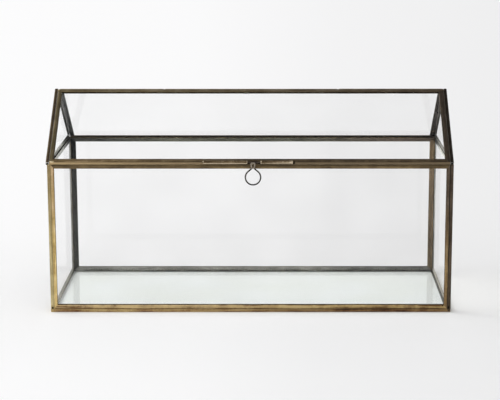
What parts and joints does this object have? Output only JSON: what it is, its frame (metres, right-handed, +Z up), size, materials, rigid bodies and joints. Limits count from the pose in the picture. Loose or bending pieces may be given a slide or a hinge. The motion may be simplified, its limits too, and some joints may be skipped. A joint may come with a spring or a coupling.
{
  "type": "glass terrarium",
  "caption": "Long, low glass terrarium shaped like a greenhouse, edged in antique brass channel, with a hinged front roof slope lifted by a wire loop.",
  "frame": {"origin": "on the surface it stands on, under the middle of the whole object from side to side and from the pull loop's front to the back eave", "axes": "+X along the length to the right as seen from the lid's side, +Y from the lid's side to the back, +Z up"},
  "size_m": [0.45, 0.189, 0.2412],
  "materials": {
    "glass": "clear float glass with polished faces",
    "brass": "antiqued brass channel and tube, brown and olive patina with rubbed bright edges",
    "wire": "darkened brass wire, smooth"
  },
  "bodies": {
    "case": {"floor_glass": "glass", "floor_came_front": "brass", "floor_came_back": "brass", "floor_came_left": "brass", "floor_came_right": "brass", "front_glass": "glass", "front_came_bottom": "brass", "front_came_top": "brass", "front_came_left": "brass", "front_came_right": "brass", "back_glass": "glass", "back_came_bottom": "brass", "back_came_top": "brass", "back_came_left": "brass", "back_came_right": "brass", "left_glass": "glass", "left_came_bottom": "brass", "left_came_top": "brass", "left_came_front": "brass", "left_came_back": "brass", "right_glass": "glass", "right_came_bottom": "brass", "right_came_top": "brass", "right_came_front": "brass", "right_came_back": "brass", "left_gable_glass": "glass", "left_gable_came_bottom": "brass", "left_gable_came_front": "brass", "left_gable_came_back": "brass", "right_gable_glass": "glass", "right_gable_came_bottom": "brass", "right_gable_came_front": "brass", "right_gable_came_back": "brass", "back_roof_glass": "glass", "back_roof_came_eave": "brass", "back_roof_came_ridge": "brass", "back_roof_came_left": "brass", "back_roof_came_right": "brass", "hinge_tube_left": "brass", "hinge_tube_right": "brass", "hinge_pin": "wire"},
    "lid": {"lid_glass": "glass", "lid_came_eave": "brass", "lid_came_ridge": "brass", "lid_came_left": "brass", "lid_came_right": "brass", "hinge_tube_lid": "brass", "pull_tube": "brass", "pull_sleeve": "brass"},
    "pull": {"pull_rod": "wire", "pull_loop": "wire"}
  },
  "joints": [
    {"name": "lid_hinge", "type": "hinge", "parent": "case", "child": "lid", "pos_m": [0, 0.00101, 0.23941], "axis": [-1, 0, 0], "range_deg": [0, 165]},
    {"name": "pull_swing", "type": "hinge", "parent": "lid", "child": "pull", "pos_m": [0, -0.09176, 0.17195], "axis": [-1, 0, 0], "range_deg": [0, 120]}
  ]
}
